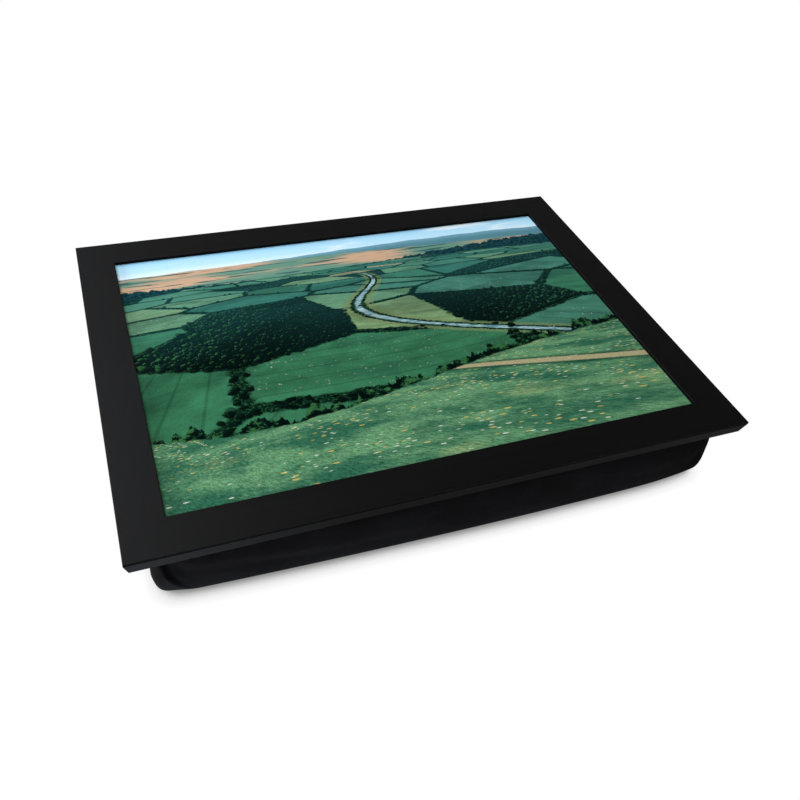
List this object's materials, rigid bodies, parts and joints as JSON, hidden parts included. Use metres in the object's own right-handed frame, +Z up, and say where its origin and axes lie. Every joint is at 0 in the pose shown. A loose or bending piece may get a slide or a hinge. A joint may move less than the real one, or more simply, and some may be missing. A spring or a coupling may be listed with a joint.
{
  "type": "lap tray",
  "caption": "Lap tray with a mitred wooden frame, a recessed laminated picture panel and a bean cushion held underneath by hook and loop strips.",
  "frame": {"origin": "middle of the cushion's flat base, on the surface that the tray stands on", "axes": "+X along the tray's long side to the user's right, +Y away from the user, +Z up"},
  "size_m": [0.469, 0.346, 0.07],
  "materials": {
    "black_stained_wood": "satin",
    "bright_steel": "satin",
    "laminated_print": "gloss",
    "fibreboard": "matte",
    "hook_tape": "matte",
    "loop_tape": "matte",
    "cushion_cloth": "matte",
    "beads": "matte"
  },
  "bodies": {
    "cushion": {"cushion_top_panel": "cushion_cloth", "cushion_lower_cover": "cushion_cloth", "bead_filling": "beads", "loop_strip_front_left": "loop_tape", "loop_strip_front_right": "loop_tape", "loop_strip_back_left": "loop_tape", "loop_strip_back_right": "loop_tape"},
    "tray": {"front_rail": "black_stained_wood", "back_rail": "black_stained_wood", "left_rail": "black_stained_wood", "right_rail": "black_stained_wood", "corner_v_nails": "bright_steel", "board_points": "bright_steel", "picture_laminate": "laminated_print", "base_board": "fibreboard", "hook_strip_front_left": "hook_tape", "hook_strip_front_right": "hook_tape", "hook_strip_back_left": "hook_tape", "hook_strip_back_right": "hook_tape"}
  },
  "joints": [
    {"name": "tray_lift", "type": "slide", "parent": "cushion", "child": "tray", "axis": [0, 0, 1], "range_m": [0, 0.12]}
  ]
}
